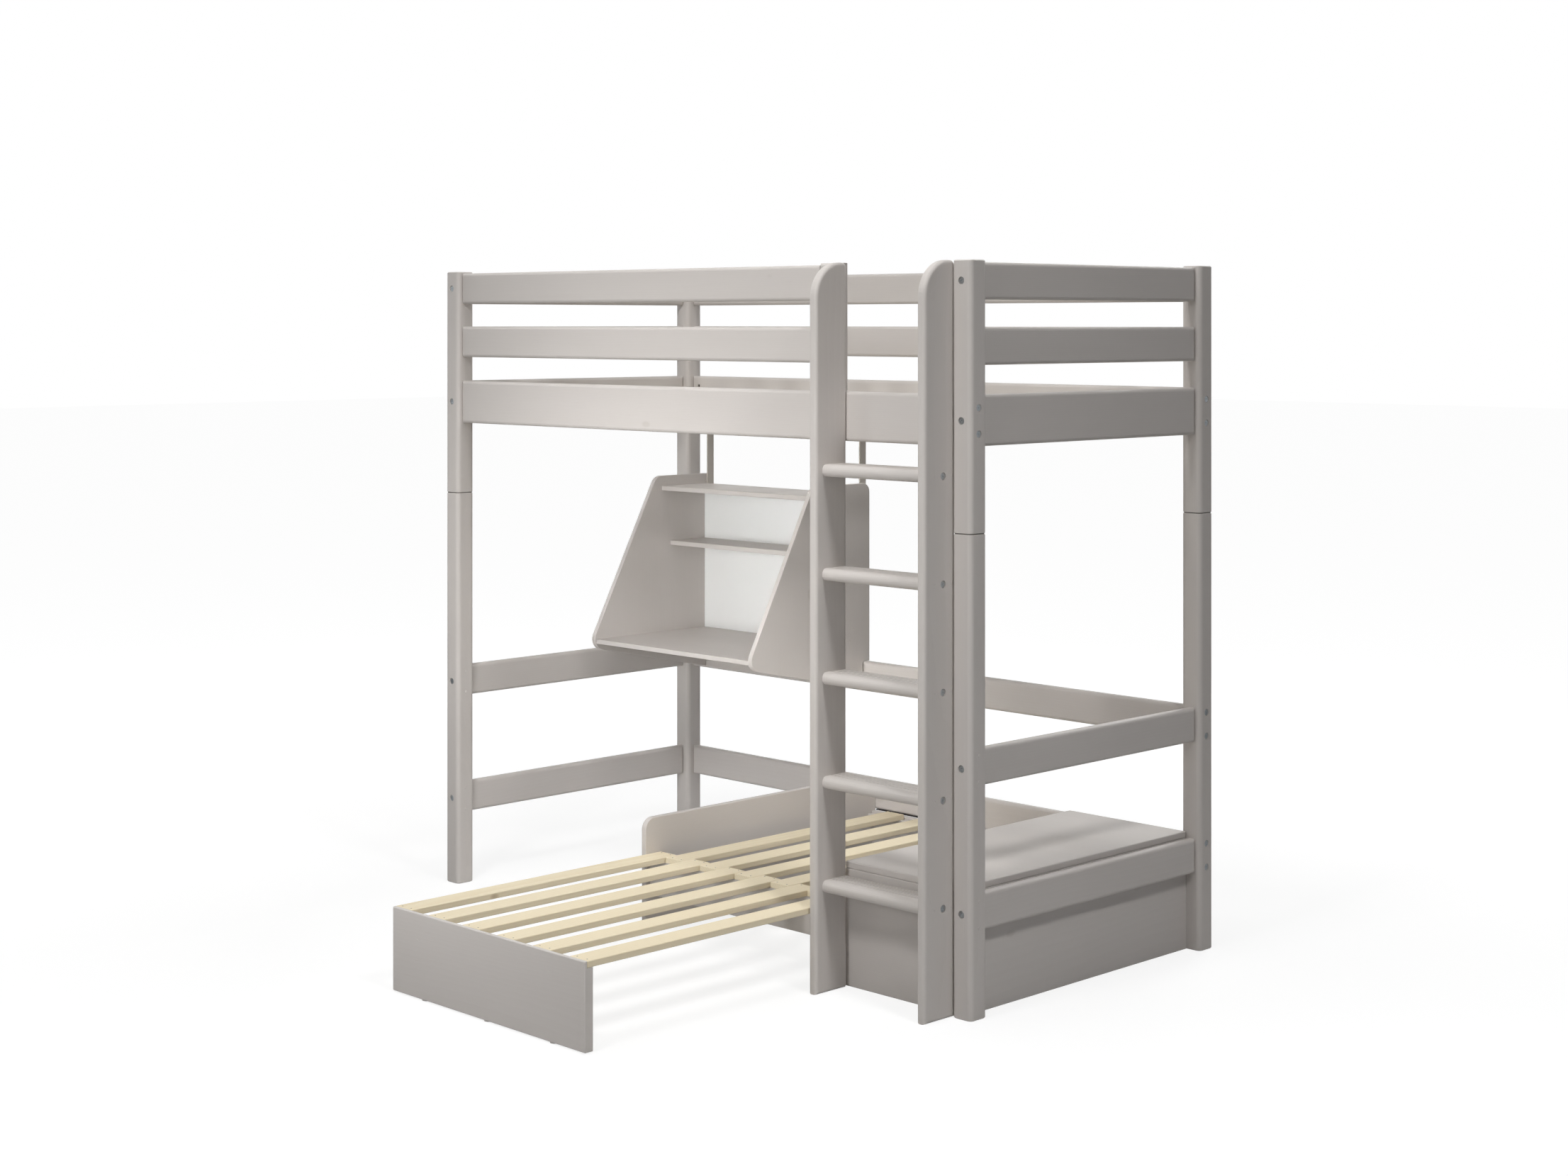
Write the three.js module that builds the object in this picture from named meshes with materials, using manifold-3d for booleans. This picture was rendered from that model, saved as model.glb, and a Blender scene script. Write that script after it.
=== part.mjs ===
// Loft bed with a ladder, a hung desk, a pull-out guest bed and a storage bench.
// Lengths are millimetres and Z is up. X runs along the bed, Y from the ladder side to the wall side.
// Places are counted from the front left corner on the floor, and the last lines move the origin.
import * as THREE from "three";
import { mergeVertices } from "three/addons/utils/BufferGeometryUtils.js";
import Module from "manifold-3d";

const wasm = await Module();
wasm.setup();

// Frame
const bedLength = 2100;
const bedWidth = 1000;
const bedHeight = 1845;
const seam = 0.1; // left between pieces that are screwed or glued face to face
const bury = 4; // how far a fused piece reaches into its carrier
const overrun = 5; // how far a cutting body passes the face that it cuts

// Posts, in two lengths that plug into each other
const postSide = 61.3;
const postCorner = 13;
const postChamfer = 2.5;
const lowerPostHeight = 1178.5;
const spigotRadius = 8;
const spigotLength = 60;
const spigotGap = 0.4;

// Rails between the posts
const railThickness = 27;
const railInset = 14; // from the posts' outer faces
const railRadius = 9;
const railHeight = 92;
const bedBoardHeight = 126.5;
const guardTopGap = 4.7; // from the posts' top to the high guard rail
const guardGap = 68; // between the guard rails
const boardGap = 71.8; // from the bed board to the low guard rail
const lowerRailBase = 209;
const upperRailBase = 562.5;

// Bolts that hold the rails and rungs, with their heads sunk in counterbores
const boltBoreRadius = 9.5;
const boltBoreDepth = 4;
const boltSpread = 64; // between the two bolts of a rail that runs along the bed
const nutBoreRadius = 5;
const nutBoreDepth = 18;
const nutSetback = 30; // from a bed board's end to its barrel nuts

// Ladder
const ladderWidth = 393.5;
const stileThickness = 27;
const stileDepth = 112;
const stileBackRadius = 12;
const stileTopFlat = 10; // between the rounds of the stile's top
const rungCount = 5;
const firstRungHeight = 270; // to the lowest rung's middle
const lastRungDrop = 70.8; // from the bed board's underside to the top rung's middle
const rungThickness = 32;
const rungDepth = 90;
const rungNoseFlat = 2; // between the rounds of the rung's nose
const rungBackRadius = 8;
const grooveCount = 3;
const firstGrooveOffset = 30; // from the rung's nose
const lastGrooveOffset = 18; // from the rung's back
const grooveWidth = 4;
const grooveDepth = 2;
const battenWidth = 80;
const battenLap = 8; // how far the batten reaches behind the ladder

// Desk, hung on the upper wall side rail
const deskLeft = 114; // from the bed's end to the desk's outer face
const deskWidth = 722;
const deskBoard = 16;
const deskEdge = 1.2;
const deskHang = 190.5; // from the bed board's underside to the desk sides' top
const deskSideTopDepth = 246;
const deskSideNoseDepth = 521.4;
const deskNoseRise = 113; // from the rail's underside to the nose's corner
const deskTailRise = 7;
const deskNoseRadius = 35;
const deskFrontRadius = 38;
const deskRearRadius = 28;
const railNotchGap = 4;
const worktopThickness = 14;
const worktopSetback = 5; // behind the sides' foremost point
const worktopRise = 137; // from the rail's underside to the worktop's upper face
const lowShelfShare = 0.609; // the low shelf's place between the worktop and the high shelf
const lowShelfDepth = 151;
const highShelfDrop = 46.5; // from the sides' top to the shelf's underside
const highShelfDepth = 197;
const shelfThickness = 14.5;
const backPanelThickness = 5;
const strapThickness = 4;
const strapGrip = 160; // the strap's length beside the desk's side
const strapFlange = 32;
const strapBend = 3;

// Guest bed slats, fixed and moving in turn
const slatWidth = 66;
const slatThickness = 16;
const slatGap = 2.7;
const slatEdge = 1.5;
const slatTop = 215;
const fixedSlatCount = 5;
const notchDepth = 0.4; // what clears a slat that slides over a beam
const slatSink = 0.5; // how far a fused slat sits in its carrier
const frontSlatLap = 2; // the fixed slats' overhang over the apron
const slatEndGap = 3.9;

// Guest bed carriers
const panelThickness = 18;
const panelEdge = 1.5;
const armHeight = 313;
const armRadius = 32;
const armFront = 25;
const armSlatGap = 1.5;
const apronFront = 39;
const apronHeight = 99;
const rearBoardTop = 206;
const cleatDepth = 18;
const cleatHeight = 30;

// Pull-out front and the beam that joins its slats
const ladderGap = 3.6; // between the pull-out front and the ladder
const frontThickness = 26;
const frontLip = 8;
const panelFrontRadius = 3;
const beamThickness = 18;
const beamHeight = 40;
const beamGap = 4; // behind the apron when it is pulled out
const glideRadius = 11;
const glideHeight = 3;
const glideCount = 3;

// Storage bench
const benchGap = 14.5; // from the last slat to the bench
const benchHeight = 300;
const benchFront = 24;
const benchRearGap = 21; // from the bench to the wall side rails
const benchEndGap = 3; // from the bench to the end rails
const benchFloorRise = 20;
const benchFloorThickness = 12;
const lidThickness = 18;
const lidEdge = 3;
const lidGap = 1.5; // between the lid and the posts
const lidCorner = 4;

// Slatted base of the upper bed
const ledgerSide = 27;
const ledgerRise = 9; // above the bed boards' lower edge
const baseSlatCount = 14;
const baseSlatWidth = 70;
const baseSlatThickness = 17;
const baseSlatInset = 6;

// Smoothness of round edges
const arcSag = 0.15; // between a round corner and its facets
const roundSteps = 4;
const turnedSides = 20;

// Places that several pieces share
const railOuter = railInset;
const railInner = railInset + railThickness;
const wallRailInner = bedWidth - railInner;
const wallRailOuter = bedWidth - railInset;
const highGuardBase = bedHeight - guardTopGap - railHeight;
const lowGuardBase = highGuardBase - guardGap - railHeight;
const bedBoardBase = lowGuardBase - boardGap - bedBoardHeight;
const lowerRailMiddle = lowerRailBase + railHeight / 2;
const upperRailMiddle = upperRailBase + railHeight / 2;
const bedBoardMiddle = bedBoardBase + bedBoardHeight / 2;
const guardRailMiddle = highGuardBase + railHeight / 2;
const railSpan = bedLength - 2 * postSide - 2 * seam;
const endRailSpan = bedWidth - 2 * postSide - 2 * seam;
const ladderRight = bedLength - postSide - seam;
const ladderLeft = ladderRight - ladderWidth;
const stileBack = railOuter - seam;
const rungPitch = (bedBoardBase - lastRungDrop - firstRungHeight) / (rungCount - 1);
const deskSideHeight = bedBoardBase - deskHang - upperRailBase;
const slatPitch = slatWidth + slatGap;
const slatRepeat = 2 * slatPitch; // from a slat to the next one of its own set
const movingSlatCount = fixedSlatCount + 1;
const slatSpan = (fixedSlatCount + movingSlatCount) * slatPitch - slatGap;
const slatRight = ladderLeft - ladderGap;
const slatLeft = slatRight - slatSpan;
const slatBase = slatTop - slatThickness;
const armRight = slatLeft - armSlatGap;
const benchLeft = slatRight + benchGap;
const benchRight = bedLength - railInner - benchEndGap;
const benchRear = wallRailInner - benchRearGap;
const apronBack = apronFront + panelThickness;
const rearBoardFront = wallRailInner - seam - panelThickness;
const fixedSlatFront = apronFront - frontSlatLap;
const slatLength = rearBoardFront - slatEndGap - fixedSlatFront;
const beamFront = apronBack + beamGap;
const movingSlatFront = beamFront + beamThickness - slatLength;
const pulloutFront = movingSlatFront - frontLip;

function finish(color, roughness, metalness = 0) {
  return new THREE.MeshStandardMaterial({ color, roughness, metalness });
}

const lacquer = finish(0xcdc7c2, 0.45);
const pine = finish(0xe6dbb6, 0.6);
const whiteBoard = finish(0xf0efec, 0.5);
const steel = finish(0xb9b2a9, 0.4, 0.6);

const bed = new THREE.Group();
bed.name = "loft_bed";

function place(name, geometry, material, x, y, z) {
  const mesh = new THREE.Mesh(geometry, material);
  mesh.name = name;
  mesh.position.set(x, y, z);
  bed.add(mesh);
}

// Points of a closed outline from its corners, each given as across, up and rounding radius.
function outline(corners) {
  return corners.flatMap(([across, up, radius], i) => {
    const corner = new THREE.Vector2(across, up);
    const [lastAcross, lastUp] = corners.at(i - 1);
    const [nextAcross, nextUp] = corners[(i + 1) % corners.length];
    const toLast = new THREE.Vector2(lastAcross, lastUp).sub(corner).normalize();
    const toNext = new THREE.Vector2(nextAcross, nextUp).sub(corner).normalize();
    if (radius === 0) return [corner];
    const half = Math.acos(toLast.dot(toNext)) / 2;
    const inward = toLast.clone().add(toNext).setLength(radius / Math.sin(half));
    const centre = corner.clone().add(inward);
    const sweep = Math.sign(toNext.cross(toLast)) * (Math.PI - 2 * half);
    const start = toLast.setLength(radius / Math.tan(half)).sub(inward);
    const steps = Math.ceil(Math.abs(sweep) / (2 * Math.acos(1 - arcSag / radius)));
    return Array.from({ length: steps + 1 }, (_, k) =>
      start.clone().rotateAround(new THREE.Vector2(), (sweep * k) / steps).add(centre),
    );
  });
}

function rectangle(width, height, radius = 0) {
  return outline([
    [0, 0, radius],
    [width, 0, radius],
    [width, height, radius],
    [0, height, radius],
  ]);
}

// A board seen from above: its outline lies in X and Y, its thickness runs up.
function level(points, thickness, edge = 0, edgeSteps = 1) {
  const board = new THREE.ExtrudeGeometry(new THREE.Shape(points), {
    depth: thickness - 2 * edge,
    bevelEnabled: edge > 0,
    bevelThickness: edge,
    bevelSize: edge,
    bevelOffset: -edge,
    bevelSegments: edgeSteps,
  });
  return board.translate(0, 0, edge);
}

// A board seen from the ladder side: its outline lies in X and Z, its thickness runs along Y.
function frontal(points, thickness, edge = 0, edgeSteps = 1) {
  return level(points, thickness, edge, edgeSteps).rotateX(Math.PI / 2).translate(0, thickness, 0);
}

// A board seen from the bed's end: its outline lies in Y and Z, its thickness runs along X.
function sideways(points, thickness, edge = 0, edgeSteps = 1) {
  const turn = new THREE.Matrix4().makeBasis(
    new THREE.Vector3(0, 1, 0),
    new THREE.Vector3(0, 0, 1),
    new THREE.Vector3(1, 0, 0),
  );
  return level(points, thickness, edge, edgeSteps).applyMatrix4(turn);
}

function solidOf(geometry) {
  const bare = new THREE.BufferGeometry();
  bare.setAttribute("position", geometry.getAttribute("position"));
  bare.setIndex(geometry.index);
  const merged = mergeVertices(bare);
  return new wasm.Manifold(
    new wasm.Mesh({
      numProp: 3,
      vertProperties: merged.getAttribute("position").array,
      triVerts: new Uint32Array(merged.index.array),
    }),
  );
}

function geometryOf(solid) {
  const { vertProperties, triVerts } = solid.getMesh();
  const geometry = new THREE.BufferGeometry();
  geometry.setAttribute("position", new THREE.BufferAttribute(vertProperties, 3));
  geometry.setIndex(new THREE.BufferAttribute(triVerts, 1));
  return geometry.toNonIndexed();
}

function join(...pieces) {
  return geometryOf(pieces.map(solidOf).reduce((whole, piece) => whole.add(piece)));
}

function cut(body, ...tools) {
  return geometryOf(tools.map(solidOf).reduce((whole, tool) => whole.subtract(tool), solidOf(body)));
}

function upright(radius, height) {
  return new THREE.CylinderGeometry(radius, radius, height, turnedSides)
    .rotateX(Math.PI / 2)
    .translate(0, 0, height / 2);
}

// A cutting body for a bore that runs along Y, from a face at zero inwards.
function bore(radius, depth) {
  const tool = new THREE.CylinderGeometry(radius, radius, depth + overrun, turnedSides);
  return tool.translate(0, (depth - overrun) / 2, 0);
}

function counterbore() {
  return bore(boltBoreRadius, boltBoreDepth);
}

// Counterbores in one face of a post, which the turn brings round from the ladder side.
function postBores(turn, heights) {
  const middle = postSide / 2;
  return heights.map((height) =>
    counterbore().translate(0, -middle, height).rotateZ(turn).translate(middle, middle, 0),
  );
}

function boltPair(middle) {
  return [middle - boltSpread / 2, middle + boltSpread / 2];
}

// Each post is a lower length with a spigot and an upper length with the bore that takes it.
function addPosts() {
  const square = rectangle(postSide, postSide, postCorner);
  const upperHeight = bedHeight - lowerPostHeight - seam;
  const middle = postSide / 2;
  const spigot = upright(spigotRadius, spigotLength + bury);
  spigot.translate(middle, middle, lowerPostHeight - bury);
  const socket = upright(spigotRadius + spigotGap, spigotLength + spigotGap + overrun);
  socket.translate(middle, middle, -overrun);
  const lower = join(level(square, lowerPostHeight, postChamfer), spigot);
  const upper = cut(level(square, upperHeight, postChamfer), socket);
  upper.translate(0, 0, lowerPostHeight + seam);

  const endRailBolts = [lowerRailMiddle, upperRailMiddle, bedBoardMiddle, guardRailMiddle];
  const wallRailBolts = [lowerRailMiddle, upperRailMiddle, bedBoardMiddle].flatMap(boltPair);
  const sides = [
    ["front", 0, 0, boltPair(bedBoardMiddle)],
    ["rear", bedWidth - postSide, Math.PI, wallRailBolts],
  ];
  const ends = [
    ["left", 0, -Math.PI / 2],
    ["right", bedLength - postSide, Math.PI / 2],
  ];
  for (const [side, y, outward, sideBolts] of sides)
    for (const [end, x, endward] of ends) {
      const bores = [...postBores(outward, endRailBolts), ...postBores(endward, sideBolts)];
      place(`post_lower_${side}_${end}`, cut(lower, ...bores), lacquer, x, y, 0);
      place(`post_upper_${side}_${end}`, cut(upper, ...bores), lacquer, x, y, 0);
    }
}

function railAlong(length, height) {
  return frontal(rectangle(length, height), railThickness, railRadius, roundSteps);
}

function railAcross(height) {
  return sideways(rectangle(endRailSpan, height), railThickness, railRadius, roundSteps);
}

// The long bed boards hold a barrel nut for each bolt, in bores that the turn points inwards.
function longBedBoard(innerFace, turn) {
  const bores = boltPair(bedBoardHeight / 2).flatMap((height) =>
    [nutSetback, railSpan - nutSetback].map((x) =>
      bore(nutBoreRadius, nutBoreDepth).rotateZ(turn).translate(x, innerFace, height),
    ),
  );
  return cut(railAlong(railSpan, bedBoardHeight), ...bores);
}

function addEndRails(leftName, rightName, height, base) {
  const start = postSide + seam;
  place(leftName, railAcross(height), lacquer, railOuter, start, base);
  place(rightName, railAcross(height), lacquer, bedLength - railInner, start, base);
}

// The upper frame has a bed board and two guard rails on each side.
function addUpperFrame() {
  const start = postSide + seam;
  const battenLeft = ladderLeft + battenLap - battenWidth;
  const guardSpan = battenLeft - seam - start;
  const frontBoard = longBedBoard(railThickness, Math.PI);
  place("bed_board_front", frontBoard, lacquer, start, railOuter, bedBoardBase);
  place("bed_board_rear", longBedBoard(0, 0), lacquer, start, wallRailInner, bedBoardBase);
  addEndRails("bed_board_left", "bed_board_right", bedBoardHeight, bedBoardBase);
  for (const [name, base] of [["guard_rail_low", lowGuardBase], ["guard_rail_high", highGuardBase]]) {
    place(`${name}_front`, railAlong(guardSpan, railHeight), lacquer, start, railOuter, base);
    place(`${name}_rear`, railAlong(railSpan, railHeight), lacquer, start, wallRailInner, base);
    addEndRails(`${name}_left`, `${name}_right`, railHeight, base);
  }
  const battenBase = bedBoardBase + bedBoardHeight + seam;
  const batten = railAlong(battenWidth, bedHeight - battenBase);
  place("guard_end_batten", batten, lacquer, battenLeft, railOuter, battenBase);
}

// Both ends and the wall side have two rails below, and the ladder side stays open.
function addLowerRails() {
  for (const [name, base] of [["low", lowerRailBase], ["high", upperRailBase]]) {
    const wallRail = railAlong(railSpan, railHeight);
    place(`wall_rail_${name}`, wallRail, lacquer, postSide + seam, wallRailInner, base);
    addEndRails(`end_rail_left_${name}`, `end_rail_right_${name}`, railHeight, base);
  }
}

function rungHeight(index) {
  return firstRungHeight + index * rungPitch;
}

// A bolt through each stile's outer face holds every rung; the turn points the bore inwards.
function stile(outerFace, turn) {
  const frontRadius = stileDepth - stileTopFlat - stileBackRadius;
  const profile = outline([
    [0, 0, 0],
    [stileDepth, 0, 0],
    [stileDepth, bedHeight, stileBackRadius],
    [0, bedHeight, frontRadius],
  ]);
  const bores = Array.from({ length: rungCount }, (_, i) =>
    counterbore().rotateZ(turn).translate(outerFace, stileDepth - rungDepth / 2, rungHeight(i)),
  );
  return cut(sideways(profile, stileThickness, railRadius, roundSteps), ...bores);
}

// A rung has a round nose and grooves on its tread.
function rung() {
  const noseRadius = (rungThickness - rungNoseFlat) / 2;
  const groovePitch = (rungDepth - firstGrooveOffset - lastGrooveOffset) / (grooveCount - 1);
  const grooves = Array.from({ length: grooveCount }, (_, k) => {
    const near = firstGrooveOffset + k * groovePitch - grooveWidth / 2;
    return [
      [near, rungThickness, 0],
      [near, rungThickness - grooveDepth, 0],
      [near + grooveWidth, rungThickness - grooveDepth, 0],
      [near + grooveWidth, rungThickness, 0],
    ];
  });
  const profile = outline([
    [0, 0, noseRadius],
    [0, rungThickness, noseRadius],
    ...grooves.flat(),
    [rungDepth, rungThickness, rungBackRadius],
    [rungDepth, 0, rungBackRadius],
  ]);
  return sideways(profile, ladderWidth - 2 * stileThickness - 2 * seam);
}

// The ladder stands on the floor against the bed board, between the guard rails' end and the post.
function addLadder() {
  const stileFront = stileBack - stileDepth;
  const rightStile = stile(stileThickness, Math.PI / 2);
  place("ladder_stile_left", stile(0, -Math.PI / 2), lacquer, ladderLeft, stileFront, 0);
  place("ladder_stile_right", rightStile, lacquer, ladderRight - stileThickness, stileFront, 0);
  const rungLeft = ladderLeft + stileThickness + seam;
  for (let i = 0; i < rungCount; i++) {
    const base = rungHeight(i) - rungThickness / 2;
    place(`ladder_rung_${i + 1}`, rung(), lacquer, rungLeft, stileBack - rungDepth, base);
  }
}

// The side's notch hooks over the rail, and its lower edge climbs from there to the nose.
function deskSide() {
  const noseCorner = wallRailOuter - deskSideNoseDepth;
  const notchFront = wallRailInner - railNotchGap;
  const notchRadius = railRadius + railNotchGap / 2;
  const profile = outline([
    [noseCorner, deskNoseRise, deskNoseRadius],
    [notchFront, deskTailRise, 0],
    [notchFront, railHeight + seam, notchRadius],
    [wallRailOuter, railHeight + seam, 0],
    [wallRailOuter, deskSideHeight, deskRearRadius],
    [wallRailOuter - deskSideTopDepth, deskSideHeight, deskFrontRadius],
  ]);
  return sideways(profile, deskBoard, deskEdge);
}

// Angle between the desk side's slanted front edge and the level.
function deskSlant() {
  const rise = deskSideHeight - deskNoseRise;
  return Math.atan2(rise, deskSideNoseDepth - deskSideTopDepth);
}

// How far the side's rounded nose stays behind the corner of its straight edges.
function noseSetback() {
  const undersideRun = deskSideNoseDepth - railThickness - railNotchGap;
  const underside = Math.atan2(deskNoseRise - deskTailRise, undersideRun);
  const half = (deskSlant() + underside) / 2;
  const bisector = (deskSlant() - underside) / 2;
  return (deskNoseRadius * Math.cos(bisector)) / Math.sin(half) - deskNoseRadius;
}

function strap(hand) {
  const length = bedBoardBase - seam - upperRailBase - deskSideHeight + strapGrip;
  const leg = hand * strapThickness;
  const profile = outline([
    [0, 0, 0],
    [leg, 0, 0],
    [leg, length - strapThickness, strapBend],
    [hand * strapFlange, length - strapThickness, 0],
    [hand * strapFlange, length, 0],
    [0, length, strapBend],
  ]);
  return frontal(profile, railThickness);
}

// The desk hangs over the rail and from two steel straps under the bed board.
function addDesk() {
  const base = upperRailBase;
  const inside = deskLeft + deskBoard + seam;
  const farSide = deskLeft + deskWidth - deskBoard;
  const width = deskWidth - 2 * deskBoard - 2 * seam;
  const worktop = base + worktopRise;
  const highShelf = base + deskSideHeight - highShelfDrop;
  const lowShelf = worktop + (highShelf - worktop) * lowShelfShare;
  const panelRear = wallRailInner - railNotchGap;
  const panelFront = panelRear - backPanelThickness;
  const worktopFront = wallRailOuter - deskSideNoseDepth + noseSetback() + worktopSetback;
  const board = (depth, thickness) => level(rectangle(width, depth), thickness, deskEdge);
  place("desk_side_left", deskSide(), lacquer, deskLeft, 0, base);
  place("desk_side_right", deskSide(), lacquer, farSide, 0, base);
  const worktopBase = worktop - worktopThickness;
  const worktopBoard = board(panelFront - seam - worktopFront, worktopThickness);
  place("desk_worktop", worktopBoard, lacquer, inside, worktopFront, worktopBase);
  const lowBoard = board(lowShelfDepth, shelfThickness);
  place("desk_shelf_low", lowBoard, lacquer, inside, panelFront - seam - lowShelfDepth, lowShelf);
  const highBoard = board(highShelfDepth, shelfThickness);
  place("desk_shelf_high", highBoard, lacquer, inside, wallRailInner - seam - highShelfDepth, highShelf);
  const backPanel = frontal(rectangle(width, highShelf - seam - worktopBase), backPanelThickness);
  place("desk_back_panel", backPanel, whiteBoard, inside, panelFront, worktopBase);
  const strapBase = base + deskSideHeight - strapGrip;
  place("desk_strap_left", strap(1), steel, inside, wallRailInner, strapBase);
  place("desk_strap_right", strap(-1), steel, farSide - seam, wallRailInner, strapBase);
}

// Cutting bodies that clear the slats of the other set where they pass over a beam.
function slatNotches(first, count, top, depth) {
  return Array.from({ length: count }, (_, k) => {
    const left = first + k * slatRepeat - slatGap / 2;
    const tool = new THREE.BoxGeometry(slatPitch, depth + 2 * overrun, notchDepth + overrun);
    return tool.translate(left + slatPitch / 2, depth / 2, top + (overrun - notchDepth) / 2);
  });
}

// The arm, the apron and the wall side board carry the slats that stay.
function addGuestBed() {
  const armLength = wallRailInner - seam - armFront;
  const armProfile = outline([
    [0, 0, 0],
    [armLength, 0, 0],
    [armLength, armHeight, armRadius],
    [0, armHeight, armRadius],
  ]);
  const arm = sideways(armProfile, panelThickness, panelEdge);
  place("guest_bed_arm", arm, lacquer, armRight - panelThickness, armFront, 0);

  const left = armRight + seam;
  const span = benchLeft - armRight - 2 * seam;
  const apronBase = slatBase - apronHeight;
  const plainApron = frontal(rectangle(span, apronHeight - seam), panelThickness, panelEdge);
  const notches = slatNotches(slatLeft - left, movingSlatCount, apronHeight - seam, panelThickness);
  place("guest_bed_apron", cut(plainApron, ...notches), lacquer, left, apronFront, apronBase);

  const rearHeight = rearBoardTop - apronBase;
  const rearBoard = frontal(rectangle(span, rearHeight), panelThickness, panelEdge);
  place("guest_bed_rear_board", rearBoard, lacquer, left, rearBoardFront, apronBase);
  const cleat = frontal(rectangle(span, cleatHeight - seam), cleatDepth - seam, panelEdge);
  place("guest_bed_cleat", cleat, lacquer, left, rearBoardFront - cleatDepth, slatBase - cleatHeight);

  for (let i = 0; i < fixedSlatCount; i++) {
    const slat = level(rectangle(slatWidth, slatLength), slatThickness, slatEdge);
    const x = slatLeft + slatPitch + i * slatRepeat;
    place(`guest_bed_slat_${i + 1}`, slat, pine, x, fixedSlatFront, slatBase);
  }
}

// The moving slats lie between the fixed ones, and a beam under their wall side ends joins them.
function addPullout() {
  const beamRise = beamHeight + slatSink;
  const plainBeam = frontal(rectangle(slatSpan, beamRise), beamThickness);
  plainBeam.translate(0, beamFront, slatBase - beamHeight);
  const notches = slatNotches(slatPitch, fixedSlatCount, slatBase, beamThickness);
  const beam = cut(plainBeam, ...notches.map((tool) => tool.translate(0, beamFront, 0)));
  const slats = Array.from({ length: movingSlatCount }, (_, k) => {
    const slat = level(rectangle(slatWidth, slatLength), slatThickness, slatEdge);
    return slat.translate(k * slatRepeat, movingSlatFront, slatBase);
  });
  place("pullout_slats", join(beam, ...slats), pine, slatLeft, 0, 0);

  const rabbet = slatBase - seam - glideHeight;
  const top = slatTop - glideHeight;
  const profile = outline([
    [0, 0, panelFrontRadius],
    [frontThickness, 0, 0],
    [frontThickness, rabbet, 0],
    [frontLip - seam, rabbet, 0],
    [frontLip - seam, top, 0],
    [0, top, panelFrontRadius],
  ]);
  const panel = sideways(profile, slatSpan, panelEdge);
  const glides = Array.from({ length: glideCount }, (_, k) => {
    const x = ((k + 1 / 2) * slatSpan) / glideCount;
    const glide = upright(glideRadius, glideHeight + bury);
    return glide.translate(x, frontThickness / 2, -glideHeight);
  });
  place("pullout_front", join(panel, ...glides), lacquer, slatLeft, pulloutFront, glideHeight);
}

// The bench is a box on the floor with a loose lid that lifts off.
function addBench() {
  const height = benchHeight - seam;
  const innerLeft = benchLeft + panelThickness + seam;
  const innerRight = Math.min(benchRight - panelThickness, bedLength - postSide) - seam;
  const innerFront = benchFront + panelThickness + seam;
  const innerRear = benchRear - panelThickness - seam;
  const postFace = bedLength - postSide - seam;
  const wall = (span) => frontal(rectangle(span, height), panelThickness, panelEdge);
  const endWall = (span) => sideways(rectangle(span, height), panelThickness, panelEdge);
  place("bench_front", wall(postFace - benchLeft), lacquer, benchLeft, benchFront, 0);
  place("bench_rear", wall(innerRight - innerLeft), lacquer, innerLeft, benchRear - panelThickness, 0);
  place("bench_side_left", endWall(benchRear - innerFront), lacquer, benchLeft, innerFront, 0);
  const rightX = benchRight - panelThickness;
  place("bench_side_right", endWall(endRailSpan), lacquer, rightX, postSide + seam, 0);
  const floorOutline = rectangle(innerRight - innerLeft, innerRear - innerFront);
  const floor = level(floorOutline, benchFloorThickness, panelEdge);
  place("bench_floor", floor, lacquer, innerLeft, innerFront, benchFloorRise);

  const lidRear = bedWidth - postSide - lidGap;
  const notchLeft = bedLength - postSide - lidGap;
  const notchRear = postSide + lidGap;
  const lidOutline = outline([
    [benchLeft, benchFront, lidCorner],
    [notchLeft, benchFront, lidCorner],
    [notchLeft, notchRear, 0],
    [benchRight, notchRear, lidCorner],
    [benchRight, lidRear, lidCorner],
    [benchLeft, lidRear, lidCorner],
  ]);
  place("bench_lid", level(lidOutline, lidThickness, lidEdge, roundSteps), lacquer, 0, 0, benchHeight);
}

// Two ledgers on the bed boards' inner faces carry the slats of the upper bed.
function addUpperBase() {
  const depth = wallRailInner - railInner - 2 * seam;
  const ledger = () => level(rectangle(railSpan, ledgerSide), ledgerSide);
  const slatDepth = depth - 2 * baseSlatInset;
  const slats = Array.from({ length: baseSlatCount }, (_, k) => {
    const slat = level(rectangle(baseSlatWidth, slatDepth), baseSlatThickness);
    const x = (k * (railSpan - baseSlatWidth)) / (baseSlatCount - 1);
    return slat.translate(x, baseSlatInset, ledgerSide - slatSink);
  });
  const base = join(ledger(), ledger().translate(0, depth - ledgerSide, 0), ...slats);
  place("upper_slat_base", base, pine, postSide + seam, railInner + seam, bedBoardBase + ledgerRise);
}

addPosts();
addUpperFrame();
addLowerRails();
addLadder();
addDesk();
addGuestBed();
addPullout();
addBench();
addUpperBase();

// The origin is the middle of the floor space that the bed takes with the guest bed pulled out.
bed.position.set(-bedLength / 2, -(bedWidth + pulloutFront) / 2, 0);

export default bed;
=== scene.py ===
import math

import bmesh
import bpy
from mathutils import Matrix, Vector


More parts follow.
